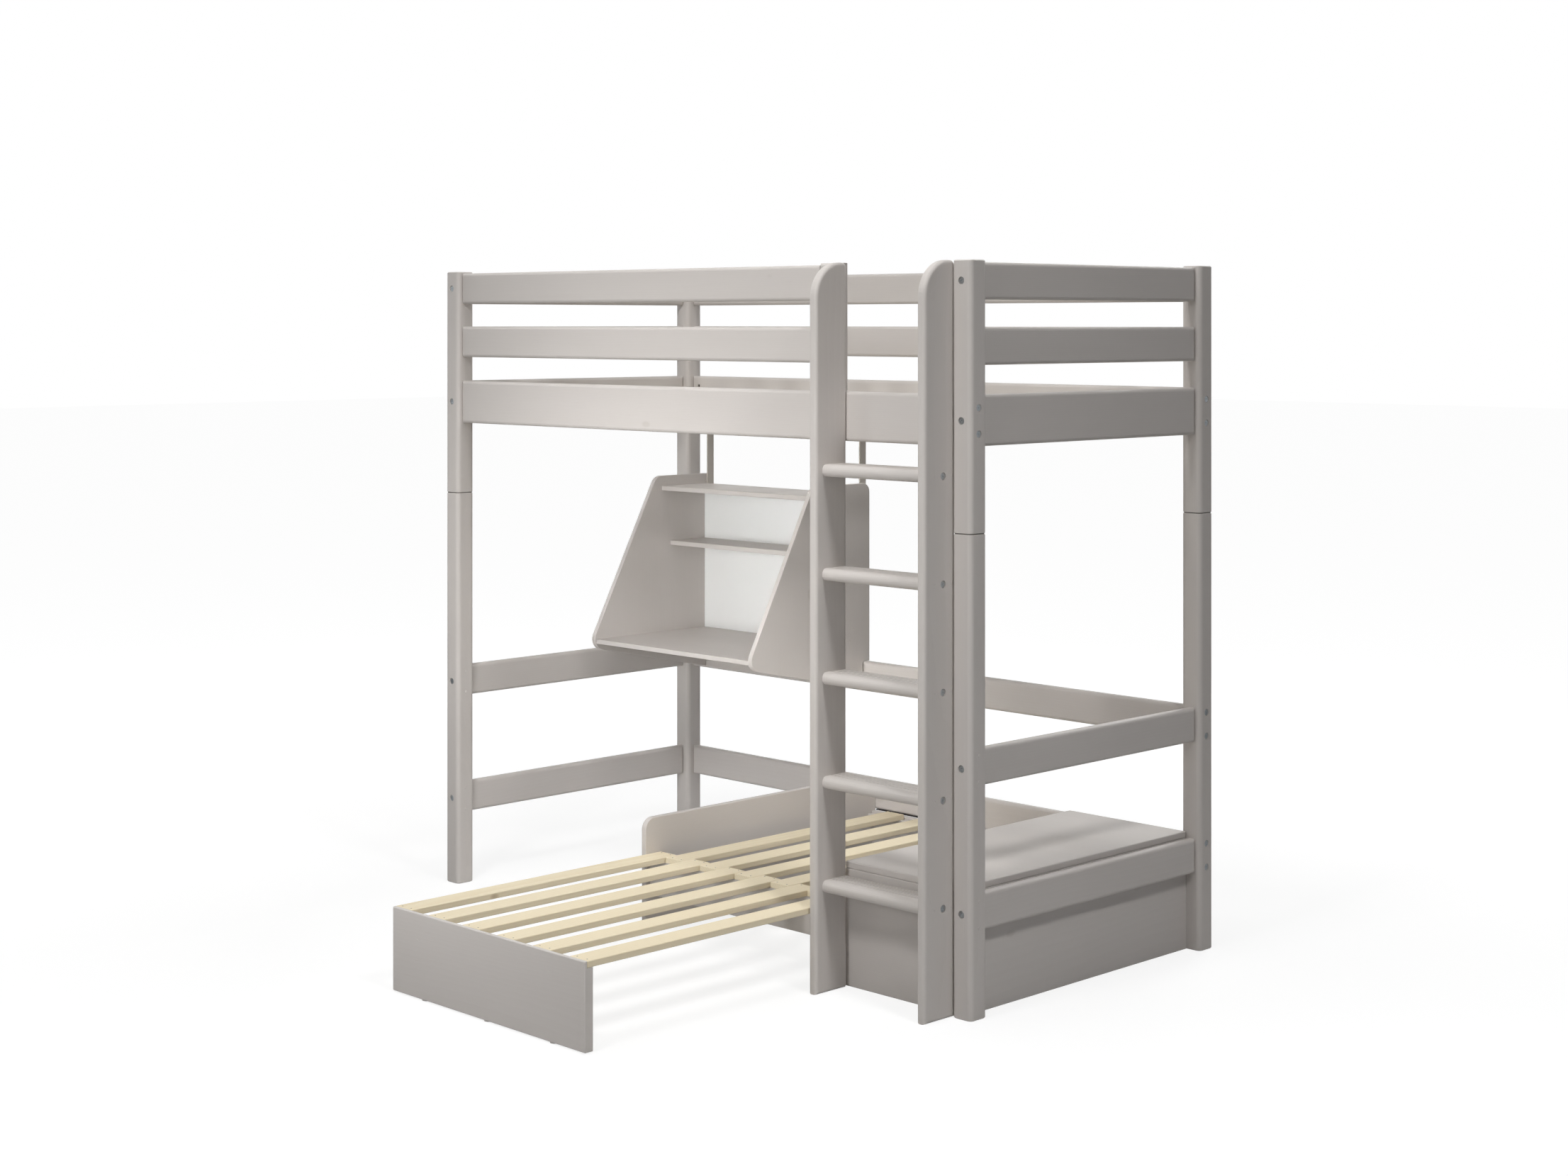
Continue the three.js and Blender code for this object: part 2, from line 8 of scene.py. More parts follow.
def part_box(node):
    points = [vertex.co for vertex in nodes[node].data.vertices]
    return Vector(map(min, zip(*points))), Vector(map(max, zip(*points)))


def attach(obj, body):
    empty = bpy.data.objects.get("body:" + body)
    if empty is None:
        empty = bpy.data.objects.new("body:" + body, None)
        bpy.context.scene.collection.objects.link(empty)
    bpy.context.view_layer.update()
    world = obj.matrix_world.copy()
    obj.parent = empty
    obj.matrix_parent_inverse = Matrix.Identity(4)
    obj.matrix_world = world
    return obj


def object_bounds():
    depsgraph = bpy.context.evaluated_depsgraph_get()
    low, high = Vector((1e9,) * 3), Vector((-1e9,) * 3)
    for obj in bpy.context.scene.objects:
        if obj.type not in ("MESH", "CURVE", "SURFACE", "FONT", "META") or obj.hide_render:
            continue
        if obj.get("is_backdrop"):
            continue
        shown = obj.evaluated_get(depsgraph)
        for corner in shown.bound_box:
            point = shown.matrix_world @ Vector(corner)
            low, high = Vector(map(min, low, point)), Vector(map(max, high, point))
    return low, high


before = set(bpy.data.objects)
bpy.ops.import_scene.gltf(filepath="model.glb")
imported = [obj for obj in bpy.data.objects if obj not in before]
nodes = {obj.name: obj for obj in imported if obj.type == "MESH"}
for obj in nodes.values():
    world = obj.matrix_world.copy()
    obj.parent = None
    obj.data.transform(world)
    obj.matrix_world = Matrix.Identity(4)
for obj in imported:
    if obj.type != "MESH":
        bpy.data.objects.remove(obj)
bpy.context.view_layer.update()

# The posts.
# Square pine posts in two lengths with well rounded corners, planed and sprayed with a warm light grey
# satin lacquer. The wood's figure only just shows through it, so all the lacquered boards share one finish.
LACQUER = (0.640, 0.605, 0.577)
LACQUER_SHADE = (0.560, 0.522, 0.492)
LACQUER_KNOT = (0.430, 0.385, 0.345)
# The seam's near-black colour is painted shade in the joint between a post's two lengths.
SEAM_PAINTED_SHADE = (0.130, 0.115, 0.105)
SEAM_HALF_WIDTH = 0.0011
RING_DRIFT = 0.035
KNOT_RIM, KNOT_HEART = 0.07, 0.03
RING_RELIEF, FIBRE_RELIEF = 0.4, 0.6
GRAIN_ORIGIN = (0.31, 0.173, 0.119)


def add_node(tree, kind, **inputs):
    """A new node, with plain values for the sockets that are named."""
    node = tree.nodes.new(kind)
    for socket, value in inputs.items():
        node.inputs[socket.replace("_", " ")].default_value = value
    return node


def sums(tree, operation, *values):
    """The result of a math node on numbers and sockets."""
    node = tree.nodes.new("ShaderNodeMath")
    node.operation = operation
    for socket, value in zip(node.inputs, values):
        if isinstance(value, float):
            socket.default_value = value
        else:
            tree.links.new(value, socket)
    return node.outputs["Value"]


def mixed(tree, share, first, second):
    """A mix of two colours, each a tuple or a socket."""
    node = tree.nodes.new("ShaderNodeMix")
    node.data_type = "RGBA"
    tree.links.new(share, node.inputs["Factor"])
    for socket, value in ((node.inputs["A"], first), (node.inputs["B"], second)):
        if isinstance(value, tuple):
            socket.default_value = (*value, 1.0)
        else:
            tree.links.new(value, socket)
    return node.outputs["Result"]


def new_material(name):
    """An empty finish, with its node tree, its shader and a texture's place on the object."""
    material = bpy.data.materials.new(name)
    material.use_nodes = True
    tree = material.node_tree
    place = tree.nodes.new("ShaderNodeTexCoord").outputs["Object"]
    return material, tree, tree.nodes["Principled BSDF"], place


def bumped(tree, shader, height, strength, distance):
    """Gives a shader fine relief from a height."""
    bump = add_node(tree, "ShaderNodeBump", Strength=strength, Distance=distance)
    tree.links.new(height, bump.inputs["Height"])
    tree.links.new(bump.outputs["Normal"], shader.inputs["Normal"])


def pine_figure():
    """Growth rings, fibres and knots of sawn pine whose grain runs along the vector's X, in metres."""
    group = bpy.data.node_groups.new("pine_figure", "ShaderNodeTree")
    group.interface.new_socket("Board", in_out="INPUT", socket_type="NodeSocketVector")
    group.interface.new_socket("Ring Scale", in_out="INPUT", socket_type="NodeSocketFloat")
    for name in ("Rings", "Fibres", "Knots", "Clouds", "Height"):
        group.interface.new_socket(name, in_out="OUTPUT", socket_type="NodeSocketFloat")
    board = group.nodes.new("NodeGroupInput")
    result = group.nodes.new("NodeGroupOutput")

    def stretched(along, across):
        """The board's own place, with so many features to a metre along and across the grain."""
        scaled = add_node(group, "ShaderNodeMapping", Scale=(along, across, across))
        group.links.new(board.outputs["Board"], scaled.inputs["Vector"])
        return scaled.outputs["Vector"]

    def noise(along, across, detail, roughness=0.5):
        texture = add_node(group, "ShaderNodeTexNoise", Scale=1.0, Detail=detail, Roughness=roughness)
        group.links.new(stretched(along, across), texture.inputs["Vector"])
        return texture

    drift = group.nodes.new("ShaderNodeVectorMath")
    drift.operation = "SCALE"
    drift.inputs["Scale"].default_value = RING_DRIFT
    group.links.new(noise(along=0.9, across=4.0, detail=1.0).outputs["Color"], drift.inputs["Vector"])
    bent = group.nodes.new("ShaderNodeVectorMath")
    bent.operation = "ADD"
    group.links.new(board.outputs["Board"], bent.inputs[0])
    group.links.new(drift.outputs["Vector"], bent.inputs[1])
    rings = add_node(group, "ShaderNodeTexWave", Distortion=1.2, Detail=1.0, Detail_Scale=0.6)
    rings.wave_type = "RINGS"
    rings.rings_direction = "X"
    rings.wave_profile = "SAW"
    group.links.new(bent.outputs["Vector"], rings.inputs["Vector"])
    group.links.new(board.outputs["Ring Scale"], rings.inputs["Scale"])

    fibres = noise(along=9.0, across=420.0, detail=3.0, roughness=0.6).outputs["Fac"]
    clouds = noise(along=1.6, across=7.0, detail=2.0).outputs["Fac"]

    def spots(along, across, depth):
        """Rare round or drawn out marks, one to a cell of the board."""
        cells = add_node(group, "ShaderNodeTexVoronoi", Scale=1.0, Randomness=1.0)
        group.links.new(stretched(along, across), cells.inputs["Vector"])
        near = add_node(
            group, "ShaderNodeMapRange", From_Min=KNOT_RIM, From_Max=KNOT_HEART, To_Min=0.0, To_Max=depth
        )
        near.interpolation_type = "SMOOTHSTEP"
        group.links.new(cells.outputs["Distance"], near.inputs["Value"])
        return near.outputs["Result"]

    knots = spots(along=3.1, across=6.3, depth=1.0)
    resin_streaks = spots(along=3.0, across=110.0, depth=0.7)
    marks = sums(group, "MAXIMUM", knots, resin_streaks)

    height = sums(group, "MULTIPLY", rings.outputs["Fac"], RING_RELIEF)
    height = sums(group, "MULTIPLY_ADD", fibres, FIBRE_RELIEF, height)
    height = sums(group, "SUBTRACT", height, knots)
    for name, value in (
        ("Rings", rings.outputs["Fac"]),
        ("Fibres", fibres),
        ("Knots", marks),
        ("Clouds", clouds),
        ("Height", height),
    ):
        group.links.new(value, result.inputs[name])
    return group


FIGURE = pine_figure()
TURN_OF_GRAIN = {
    "along_bed": (0.0, 0.0, 0.0),
    "across_bed": (0.0, 0.0, math.pi / 2),
    "upright": (0.0, math.pi / 2, 0.0),
}


def wood(name, grain, light, shade, knot, weights, ring_scale, roughness, relief, seam=None):
    """A wood finish: weights are the shares of rings, fibres, clouds and knots in its colour.

    A seam is the height at which two lengths meet, with a dark line of painted shade between them.
    """
    material, tree, shader, place = new_material(name)
    turned = add_node(tree, "ShaderNodeMapping", Rotation=TURN_OF_GRAIN[grain], Location=GRAIN_ORIGIN)
    tree.links.new(place, turned.inputs["Vector"])
    figure = tree.nodes.new("ShaderNodeGroup")
    figure.node_tree = FIGURE
    figure.inputs["Ring Scale"].default_value = ring_scale
    tree.links.new(turned.outputs["Vector"], figure.inputs["Board"])

    rings_share, fibres_share, clouds_share, knots_share = weights
    depth = sums(tree, "MULTIPLY", figure.outputs["Rings"], rings_share)
    depth = sums(tree, "MULTIPLY_ADD", figure.outputs["Fibres"], fibres_share, depth)
    depth = sums(tree, "MULTIPLY_ADD", figure.outputs["Clouds"], clouds_share, depth)
    tint = mixed(tree, depth, light, shade)
    tint = mixed(tree, sums(tree, "MULTIPLY", figure.outputs["Knots"], knots_share), tint, knot)
    # A band of painted shade where the two lengths of a post meet.
    if seam is not None:
        parts = tree.nodes.new("ShaderNodeSeparateXYZ")
        tree.links.new(place, parts.inputs["Vector"])
        painted_seam_shade = sums(tree, "COMPARE", parts.outputs["Z"], seam, SEAM_HALF_WIDTH)
        tint = mixed(tree, painted_seam_shade, tint, SEAM_PAINTED_SHADE)
    tree.links.new(tint, shader.inputs["Base Color"])
    low, high = roughness
    gloss = sums(tree, "MULTIPLY_ADD", figure.outputs["Fibres"], high - low, low)
    tree.links.new(gloss, shader.inputs["Roughness"])
    bumped(tree, shader, figure.outputs["Height"], strength=0.5, distance=relief)
    shader.inputs["Specular IOR Level"].default_value = 0.4
    return material


def lacquered(name, grain, seam=None):
    """The bed's grey lacquer on pine, with the figure faint under it."""
    return wood(
        name, grain, LACQUER, LACQUER_SHADE, LACQUER_KNOT,
        weights=(0.14, 0.22, 0.5, 0.3), ring_scale=70.0, roughness=(0.4, 0.52), relief=0.0001, seam=seam,
    )


lacquer = {grain: lacquered(f"grey_lacquer_{grain}", grain) for grain in TURN_OF_GRAIN}


def finish_nodes(material, *names):
    """Gives CAD nodes their finish."""
    for name in names:
        mesh = nodes[name].data
        mesh.materials.clear()
        mesh.materials.append(material)


CORNERS = [(side, end) for side in ("front", "rear") for end in ("left", "right")]
finish_nodes(
    lacquered("grey_lacquer_posts", "upright", seam=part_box("post_upper_front_left")[0].z),
    *(f"post_{length}_{side}_{end}" for length in ("lower", "upper") for side, end in CORNERS),
)

# The bolts of the frame.
# Zinc plated connector bolts with a flat round head and a hexagon socket, sunk in the counterbores of the
# posts. One bolt per post holds each board of an end, and two hold each bed board and rail of a long side.
BOLT_RADIUS = 0.0082
BOLT_EDGE = 0.0007
BOLT_HEAD = 0.0025
BOLT_SOCKET = 0.0026
SOCKET_DEPTH = 0.0020
BOLT_SUNK = 0.0015
BOLT_PAIR = 0.032
METAL_DULLING = 0.7


def cloudy(tree, shader, cloud, light, shade, roughness):
    """Lets a cloudy texture vary a shader's colour and its roughness."""
    tree.links.new(mixed(tree, cloud, light, shade), shader.inputs["Base Color"])
    low, high = roughness
    gloss = add_node(tree, "ShaderNodeMapRange", To_Min=low, To_Max=high)
    tree.links.new(cloud, gloss.inputs["Value"])
    tree.links.new(gloss.outputs["Result"], shader.inputs["Roughness"])


def metal(name, color, roughness, mottle):
    """A bare or plated metal whose polish is slightly uneven."""
    material, tree, shader, place = new_material(name)
    shader.inputs["Metallic"].default_value = 1.0
    cloud = add_node(tree, "ShaderNodeTexNoise", Scale=260.0, Detail=3.0)
    tree.links.new(place, cloud.inputs["Vector"])
    dull_color = tuple(METAL_DULLING * part for part in color)
    cloudy(tree, shader, cloud.outputs["Fac"], color, dull_color, (roughness - mottle, roughness + mottle))
    return material


zinc = metal("zinc_plate", (0.50, 0.53, 0.55), roughness=0.30, mottle=0.08)


def stored(shape):
    """Keeps a small part's bmesh as a mesh that can be stamped many times."""
    bmesh.ops.recalc_face_normals(shape, faces=shape.faces)
    mesh = bpy.data.meshes.new("stamp")
    shape.to_mesh(mesh)
    shape.free()
    return mesh


def bolt_head():
    """A flat head with its top face at the origin, facing up: a disc with a hexagon socket."""
    shape = bmesh.new()
    bmesh.ops.create_circle(shape, cap_ends=True, segments=6, radius=BOLT_SOCKET)
    bmesh.ops.subdivide_edges(shape, edges=list(shape.edges), cuts=3)
    floor = shape.faces[:]
    inner = [edge for edge in shape.edges if edge.is_boundary]
    outer = bmesh.ops.create_circle(shape, segments=24, radius=BOLT_RADIUS - BOLT_EDGE)["verts"]
    rim = list({edge for vert in outer for edge in vert.link_edges})
    bmesh.ops.bridge_loops(shape, edges=inner + rim)
    sunk = bmesh.ops.extrude_discrete_faces(shape, faces=[f for f in floor if f.is_valid])["faces"]
    sunk_verts = list({vert for face in sunk for vert in face.verts})
    bmesh.ops.translate(shape, verts=sunk_verts, vec=(0, 0, -SOCKET_DEPTH))
    bevel_widens = BOLT_RADIUS / (BOLT_RADIUS - BOLT_EDGE)
    for widen, drop in ((bevel_widens, BOLT_EDGE), (1.0, BOLT_HEAD - BOLT_EDGE)):
        grown = bmesh.ops.extrude_edge_only(shape, edges=rim)["geom"]
        moved = [item for item in grown if isinstance(item, bmesh.types.BMVert)]
        bmesh.ops.scale(shape, verts=moved, vec=(widen, widen, 1))
        bmesh.ops.translate(shape, verts=moved, vec=(0, 0, -drop))
        rim = [item for item in grown if isinstance(item, bmesh.types.BMEdge)]
    bmesh.ops.edgeloop_fill(shape, edges=rim)
    return stored(shape)


def new_piece(name, shape, material, body):
    """A bmesh as one piece of the scene, on the body that it rides."""
    mesh = bpy.data.meshes.new(name)
    shape.to_mesh(mesh)
    shape.free()
    mesh.materials.append(material)
    piece = bpy.data.objects.new(name, mesh)
    bpy.context.scene.collection.objects.link(piece)
    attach(piece, body)


def stamp(name, mesh, places, material, body):
    """One piece that is a row of equal small parts, each at a point and facing a direction."""
    shape = bmesh.new()
    for point, facing in places:
        before = len(shape.verts)
        shape.from_mesh(mesh)
        shape.verts.ensure_lookup_table()
        turn = Vector(facing).to_track_quat("Z", "Y").to_matrix().to_4x4()
        bmesh.ops.transform(shape, matrix=Matrix.Translation(point) @ turn, verts=shape.verts[before:])
    new_piece(name, shape, material, body)


def middle(name):
    """The middle of a node's box."""
    low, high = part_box(name)
    return (low + high) / 2


def post_face(side, end, direction):
    """The middle line of one face of a post, as a point at the floor."""
    low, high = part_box(f"post_lower_{side}_{end}")
    centre = (low + high) / 2
    reach = Vector(direction) * (high.x - low.x) / 2
    return Vector((centre.x + reach.x, centre.y + reach.y, 0))


def sunk_at(face, height, direction, depth):
    """A point at a height on a face's middle line, sunk below the face."""
    return Vector((face.x, face.y, height)) - Vector(direction) * depth


BOLT = bolt_head()
end_rail_heights = [
    middle(name).z
    for name in ("end_rail_left_low", "end_rail_left_high", "bed_board_left", "guard_rail_high_left")
]
pair_heights = {
    "front": [middle("bed_board_front").z],
    "rear": [middle(name).z for name in ("wall_rail_low", "wall_rail_high", "bed_board_rear")],
}
OUTWARD = {"front": (0, -1, 0), "rear": (0, 1, 0), "left": (-1, 0, 0), "right": (1, 0, 0)}
bolt_places = []
for side, end in CORNERS:
    face = post_face(side, end, OUTWARD[side])
    bolt_places += [(sunk_at(face, z, OUTWARD[side], BOLT_SUNK), OUTWARD[side]) for z in end_rail_heights]
    face = post_face(side, end, OUTWARD[end])
    for z in pair_heights[side]:
        for height in (z - BOLT_PAIR, z + BOLT_PAIR):
            bolt_places.append((sunk_at(face, height, OUTWARD[end], BOLT_SUNK), OUTWARD[end]))
stamp("frame_bolts", BOLT, bolt_places, zinc, "bed_frame")

# The upper frame.
# Boards of 27 mm pine with rounded edges between the posts: a deep bed board and two guard rails on every
# side, and an upright batten that ends the front rails beside the ladder.
LEVELS = ("bed_board", "guard_rail_low", "guard_rail_high")
finish_nodes(lacquer["along_bed"], *(f"{level}_{side}" for level in LEVELS for side in ("front", "rear")))
finish_nodes(lacquer["across_bed"], *(f"{level}_{end}" for level in LEVELS for end in ("left", "right")))
finish_nodes(lacquer["upright"], "guard_end_batten")

# The barrel nuts of the long bed boards.
# Blued steel cross dowels with a slot for a screwdriver, in bores from the boards' inner faces, 30 mm from
# each end. The bolts from the posts screw into them.
NUT_RADIUS = 0.0048
NUT_LENGTH = 0.013
NUT_SUNK = 0.0025
NUT_FROM_END = 0.030
NUT_EDGE = 0.0005
NUT_SLOT = (0.0012, 0.0072, 0.0010)
SAME_PLANE = 1e-6


def barrel_nut():
    """A short cylinder with a slotted end at the origin, facing up."""
    shape = bmesh.new()
    bmesh.ops.create_cone(
        shape, cap_ends=True, segments=20, radius1=NUT_RADIUS, radius2=NUT_RADIUS, depth=NUT_LENGTH,
        matrix=Matrix.Translation((0, 0, -NUT_LENGTH / 2)),
    )
    bmesh.ops.bevel(
        shape, geom=[e for e in shape.edges if all(v.co.z > -NUT_LENGTH / 2 for v in e.verts)],
        offset=NUT_EDGE, segments=2, affect="EDGES", profile=0.5, material=-1,
    )
    width, length, depth = NUT_SLOT
    for along, reach in ((Vector((1, 0, 0)), width), (Vector((0, 1, 0)), length)):
        for way in (-1, 1):
            faces = [f for f in shape.faces if abs(f.calc_center_median().z) < SAME_PLANE]
            edges = [e for f in faces for e in f.edges]
            bmesh.ops.bisect_plane(
                shape, geom=faces + list(set(edges)) + list({v for f in faces for v in f.verts}),
                plane_co=along * way * reach / 2, plane_no=along,
            )
    slot = [
        f for f in shape.faces
        if abs(f.calc_center_median().z) < SAME_PLANE
        and abs(f.calc_center_median().x) < width / 2
        and abs(f.calc_center_median().y) < length / 2
    ]
    grown = bmesh.ops.extrude_face_region(shape, geom=slot)["geom"]
    bmesh.ops.delete(shape, geom=slot, context="FACES")
    sunk_verts = [item for item in grown if isinstance(item, bmesh.types.BMVert)]
    bmesh.ops.translate(shape, verts=sunk_verts, vec=(0, 0, -depth))
    return stored(shape)


blued = metal("blued_steel", (0.16, 0.15, 0.14), roughness=0.45, mottle=0.08)
nut_places = []
for side, inward in (("front", 1), ("rear", -1)):
    low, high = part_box(f"bed_board_{side}")
    face = high.y if inward > 0 else low.y
    for x in (low.x + NUT_FROM_END, high.x - NUT_FROM_END):
        for z in (-BOLT_PAIR, BOLT_PAIR):
            place = (x, face - inward * NUT_SUNK, (low.z + high.z) / 2 + z)
            nut_places.append((place, (0, inward, 0)))
stamp("barrel_nuts", barrel_nut(), nut_places, blued, "bed_frame")

# The lower rails and the cover plugs.
# Two rails below at each end and at the wall side. The front stays open, so small lacquered plugs close the
# front posts' bores for such rails, and they show on the posts' right faces.
END_RAILS = [f"end_rail_{end}_{level}" for end in ("left", "right") for level in ("low", "high")]
finish_nodes(lacquer["across_bed"], *END_RAILS)
finish_nodes(lacquer["along_bed"], "wall_rail_low", "wall_rail_high")
PLUG_RADIUS = 0.0042
PLUG_RISE = 0.0016
BUTTON_SUNK = 0.0010


def button(radius, rise, rings):
    """A round button let into the surface at the origin, facing up; rings are shares of radius and rise."""
    shape = bmesh.new()
    bmesh.ops.create_circle(
        shape, cap_ends=True, segments=20, radius=radius, matrix=Matrix.Translation((0, 0, -BUTTON_SUNK))
    )
    rim = list(shape.edges)
    width, height = 1.0, -BUTTON_SUNK
    for share, lift in rings:
        grown = bmesh.ops.extrude_edge_only(shape, edges=rim)["geom"]
        moved = [item for item in grown if isinstance(item, bmesh.types.BMVert)]
        bmesh.ops.scale(shape, verts=moved, vec=(share / width, share / width, 1))
        bmesh.ops.translate(shape, verts=moved, vec=(0, 0, rise * lift - height))
        rim = [item for item in grown if isinstance(item, bmesh.types.BMEdge)]
        width, height = share, rise * lift
    bmesh.ops.edgeloop_fill(shape, edges=rim)
    return stored(shape)


def cover_plug(radius, rise):
    """A low dome that stands a little proud of the board."""
    return button(radius, rise, rings=((1.0, 0.5), (0.93, 0.8), (0.7, 0.95), (0.35, 1.0)))


plug_places = []
for end in ("left", "right"):
    face = post_face("front", end, OUTWARD["right"])
    for rail in ("wall_rail_low", "wall_rail_high"):
        for z in (-BOLT_PAIR, BOLT_PAIR):
            plug_places.append(((face.x, face.y, middle(rail).z + z), OUTWARD["right"]))
stamp(
    "post_cover_plugs", cover_plug(PLUG_RADIUS, PLUG_RISE), plug_places, lacquer["upright"],
    "bed_frame",
)

# The ladder.
# Two upright stiles with a rounded top and five rungs with a bull nose and three grooves for grip. Each
# rung is held by a bolt and two dowels through either stile, and the dowels' ends show under the lacquer.
finish_nodes(lacquer["upright"], "ladder_stile_left", "ladder_stile_right")
RUNGS = [f"ladder_rung_{number}" for number in range(1, 6)]
finish_nodes(lacquer["along_bed"], *RUNGS)
DOWEL_RADIUS = 0.0032
DOWEL_RISE = 0.0011
DOWEL_REACH = 0.030
rung_bolts, dowel_ends = [], []
for end in ("left", "right"):
    low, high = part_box(f"ladder_stile_{end}")
    face = low.x if end == "left" else high.x
    way = OUTWARD[end][0]
    for rung in RUNGS:
        centre = middle(rung)
        rung_bolts.append(((face - way * BOLT_SUNK, centre.y, centre.z), OUTWARD[end]))
        for y in (-DOWEL_REACH, DOWEL_REACH):
            dowel_ends.append(((face, centre.y + y, centre.z), OUTWARD[end]))
stamp("ladder_bolts", BOLT, rung_bolts, zinc, "bed_frame")
stamp(
    "ladder_dowel_ends", cover_plug(DOWEL_RADIUS, DOWEL_RISE), dowel_ends, lacquer["upright"],
    "bed_frame",
)

# The desk.
# Two shaped sides hook over the wall side's upper rail, with a worktop and two shelves of the same
# lacquered board between them. Small screw caps show on the sides, just above the worktop's rear edge.
finish_nodes(lacquer["upright"], "desk_side_left", "desk_side_right")
finish_nodes(lacquer["along_bed"], "desk_worktop", "desk_shelf_low", "desk_shelf_high")
CAP_RADIUS = 0.0030
CAP_RISE = 0.0010
CAPS_BACK_AND_UP = ((0.036, 0.058), (0.053, 0.021))
worktop_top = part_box("desk_worktop")[1]
cap_places = []
for end in ("left", "right"):
    low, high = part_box(f"desk_side_{end}")
    face = low.x if end == "left" else high.x
    for back, up in CAPS_BACK_AND_UP:
        cap_places.append(((face, worktop_top.y - back, worktop_top.z + up), OUTWARD[end]))
stamp(
    "desk_screw_caps", cover_plug(CAP_RADIUS, CAP_RISE), cap_places, lacquer["upright"],
    "bed_frame",
)

# The desk's back panel.
# Thin fibreboard with a smooth white face, let in behind the worktop and under the high shelf. It is the
# palest and plainest surface of the bed, with only a trace of the board's cloudiness.
WHITE_FACE = (0.950, 0.955, 0.950)
WHITE_FACE_SHADE = (0.915, 0.920, 0.910)


def white_faced_board():
    """Smooth white foil with faint clouds and a fine grit."""
    material, tree, shader, place = new_material("white_faced_board")
    cloud = add_node(tree, "ShaderNodeTexNoise", Scale=5.0, Detail=2.0)
    grit = add_node(tree, "ShaderNodeTexNoise", Scale=900.0, Detail=2.0)
    for texture in (cloud, grit):
        tree.links.new(place, texture.inputs["Vector"])
    cloudy(tree, shader, cloud.outputs["Fac"], WHITE_FACE, WHITE_FACE_SHADE, roughness=(0.34, 0.46))
    bumped(tree, shader, grit.outputs["Fac"], strength=0.3, distance=0.00005)
    return material


finish_nodes(white_faced_board(), "desk_back_panel")

# The straps that carry the desk.
# Flat steel bars painted the bed's grey, bent over at the top and screwed under the bed board. Lower down
# they lie against the insides of the desk's sides, held by two pan head screws each.
STRAP_PAINT = (0.58, 0.54, 0.49)
STRAP_PAINT_SHADE = (0.53, 0.49, 0.44)


def painted_steel():
    """Sprayed paint with the fine waves of orange peel."""
    material, tree, shader, place = new_material("painted_steel")
    shader.inputs["Coat Weight"].default_value = 0.2
    orange_peel = add_node(tree, "ShaderNodeTexNoise", Scale=700.0, Detail=1.0)
    tree.links.new(place, orange_peel.inputs["Vector"])
    waves = orange_peel.outputs["Fac"]
    cloudy(tree, shader, waves, STRAP_PAINT, STRAP_PAINT_SHADE, roughness=(0.36, 0.5))
    bumped(tree, shader, waves, strength=0.4, distance=0.0001)
    return material


finish_nodes(painted_steel(), "desk_strap_left", "desk_strap_right")
SCREW_RADIUS = 0.0042
SCREW_HEAD = 0.0022
SCREW_ROUNDING = 0.0012
RECESS_RIM = 0.0014
RECESS_SLOPE = 0.0003
RECESS_DEPTH = 0.0009
STRAP_THICKNESS = 0.004
LEG_SCREWS_UP = (0.030, 0.120)
FLANGE_SCREW_IN = 0.012


def pan_head_screw():
    """A rounded head with a round recess, standing up from the origin."""
    shape = bmesh.new()
    bmesh.ops.create_cone(
        shape, cap_ends=True, segments=20, radius1=SCREW_RADIUS, radius2=SCREW_RADIUS, depth=SCREW_HEAD,
        matrix=Matrix.Translation((0, 0, SCREW_HEAD / 2)),
    )
    crown = [e for e in shape.edges if all(v.co.z > SCREW_HEAD / 2 for v in e.verts)]
    bmesh.ops.bevel(
        shape, geom=crown, offset=SCREW_ROUNDING, segments=4, affect="EDGES", profile=0.5, material=-1
    )
    top = max(shape.faces, key=lambda face: face.calc_center_median().z)
    bmesh.ops.inset_individual(shape, faces=[top], thickness=RECESS_RIM)
    bmesh.ops.inset_individual(shape, faces=[top], thickness=RECESS_SLOPE, depth=-RECESS_DEPTH)
    return stored(shape)


screw_places = []
for end, way in (("left", 1), ("right", -1)):
    low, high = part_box(f"desk_strap_{end}")
    y = (low.y + high.y) / 2
    leg = (low.x if way > 0 else high.x) + way * STRAP_THICKNESS
    screw_places += [((leg, y, low.z + up), (way, 0, 0)) for up in LEG_SCREWS_UP]
    flange = high.x if way > 0 else low.x
    screw_places.append(((flange - way * FLANGE_SCREW_IN, y, high.z - STRAP_THICKNESS), (0, 0, -1)))
stamp("strap_screws", pan_head_screw(), screw_places, zinc, "bed_frame")

# The guest bed's fixed part.
# An arm panel, an apron under the slats' front ends and a board at their wall side ends, all lacquered.
# Five slats of planed pine lie on them, bare and pale yellow, each nailed twice at either end.
finish_nodes(lacquer["across_bed"], "guest_bed_arm")
finish_nodes(lacquer["along_bed"], "guest_bed_apron", "guest_bed_rear_board", "guest_bed_cleat")
PINE = (0.870, 0.790, 0.610)
PINE_SHADE = (0.740, 0.620, 0.410)
PINE_KNOT = (0.330, 0.190, 0.085)
bare_pine = wood(
    "bare_pine", "across_bed", PINE, PINE_SHADE, PINE_KNOT,
    weights=(0.34, 0.25, 0.3, 0.5), ring_scale=46.0, roughness=(0.55, 0.72), relief=0.0002,
)
SLATS = [f"guest_bed_slat_{number}" for number in range(1, 6)]
finish_nodes(bare_pine, *SLATS)
NAIL_RADIUS = 0.0018
NAIL_RISE = 0.0003
NAIL_ACROSS = 0.018
NAIL = button(NAIL_RADIUS, NAIL_RISE, rings=((1.0, 0.6), (0.85, 1.0)))
nail_steel = metal("nail_steel", (0.22, 0.20, 0.18), roughness=0.5, mottle=0.08)


def nail_pairs(centres, top, rows):
    """Two nails beside each centre line in every row."""
    return [
        ((x + across, y, top), (0, 0, 1))
        for x in centres
        for y in rows
        for across in (-NAIL_ACROSS, NAIL_ACROSS)
    ]


